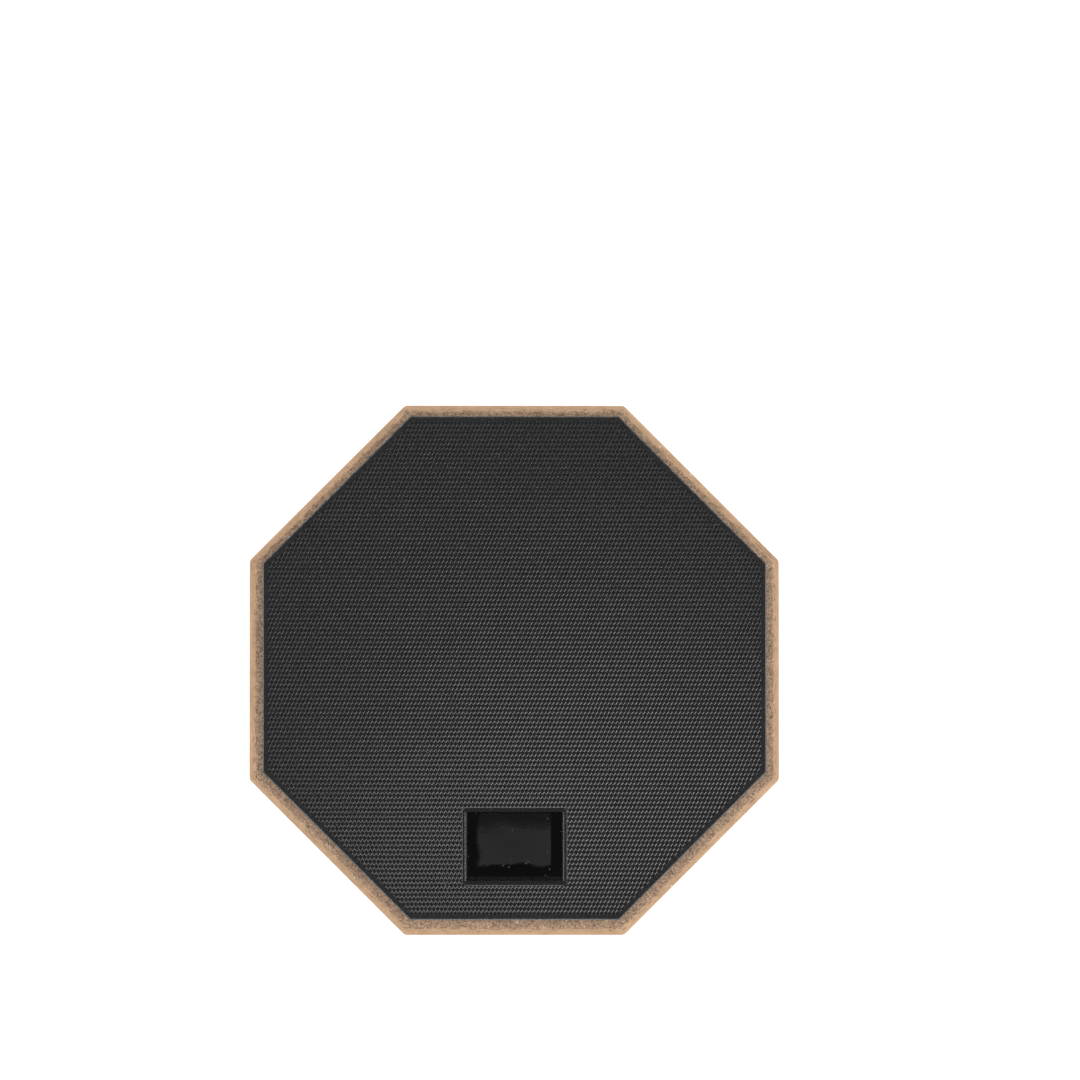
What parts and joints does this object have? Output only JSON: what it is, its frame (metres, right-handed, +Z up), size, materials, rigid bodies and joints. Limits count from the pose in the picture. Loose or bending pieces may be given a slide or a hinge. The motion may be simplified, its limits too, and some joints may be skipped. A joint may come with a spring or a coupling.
{
  "type": "practice pad",
  "caption": "Octagonal 12 inch drum practice pad: textured black rubber sheet on a chamfered fibreboard slab, non-slip back and a threaded stand socket.",
  "frame": {"origin": "under the middle of the board, on the surface that the pad lies on", "axes": "+Z up, out of the playing face; +Y away from the player, so the badge window is near the -Y edge; +X to the player's right"},
  "size_m": [0.305, 0.305, 0.0246],
  "materials": {
    "fibreboard": "raw sanded fibreboard",
    "pad_rubber": "satin moulded rubber",
    "badge_gloss": "gloss",
    "backing_foam": "matt foam rubber",
    "socket_steel": "bright zinc plating",
    "screw_steel": "bright zinc plating"
  },
  "bodies": {
    "root": {"base_board": "fibreboard", "playing_pad": "pad_rubber", "badge_plate": "badge_gloss", "grip_backing": "backing_foam", "stand_socket": "socket_steel", "socket_screw_1": "screw_steel", "socket_screw_2": "screw_steel", "socket_screw_3": "screw_steel"}
  },
  "joints": []
}
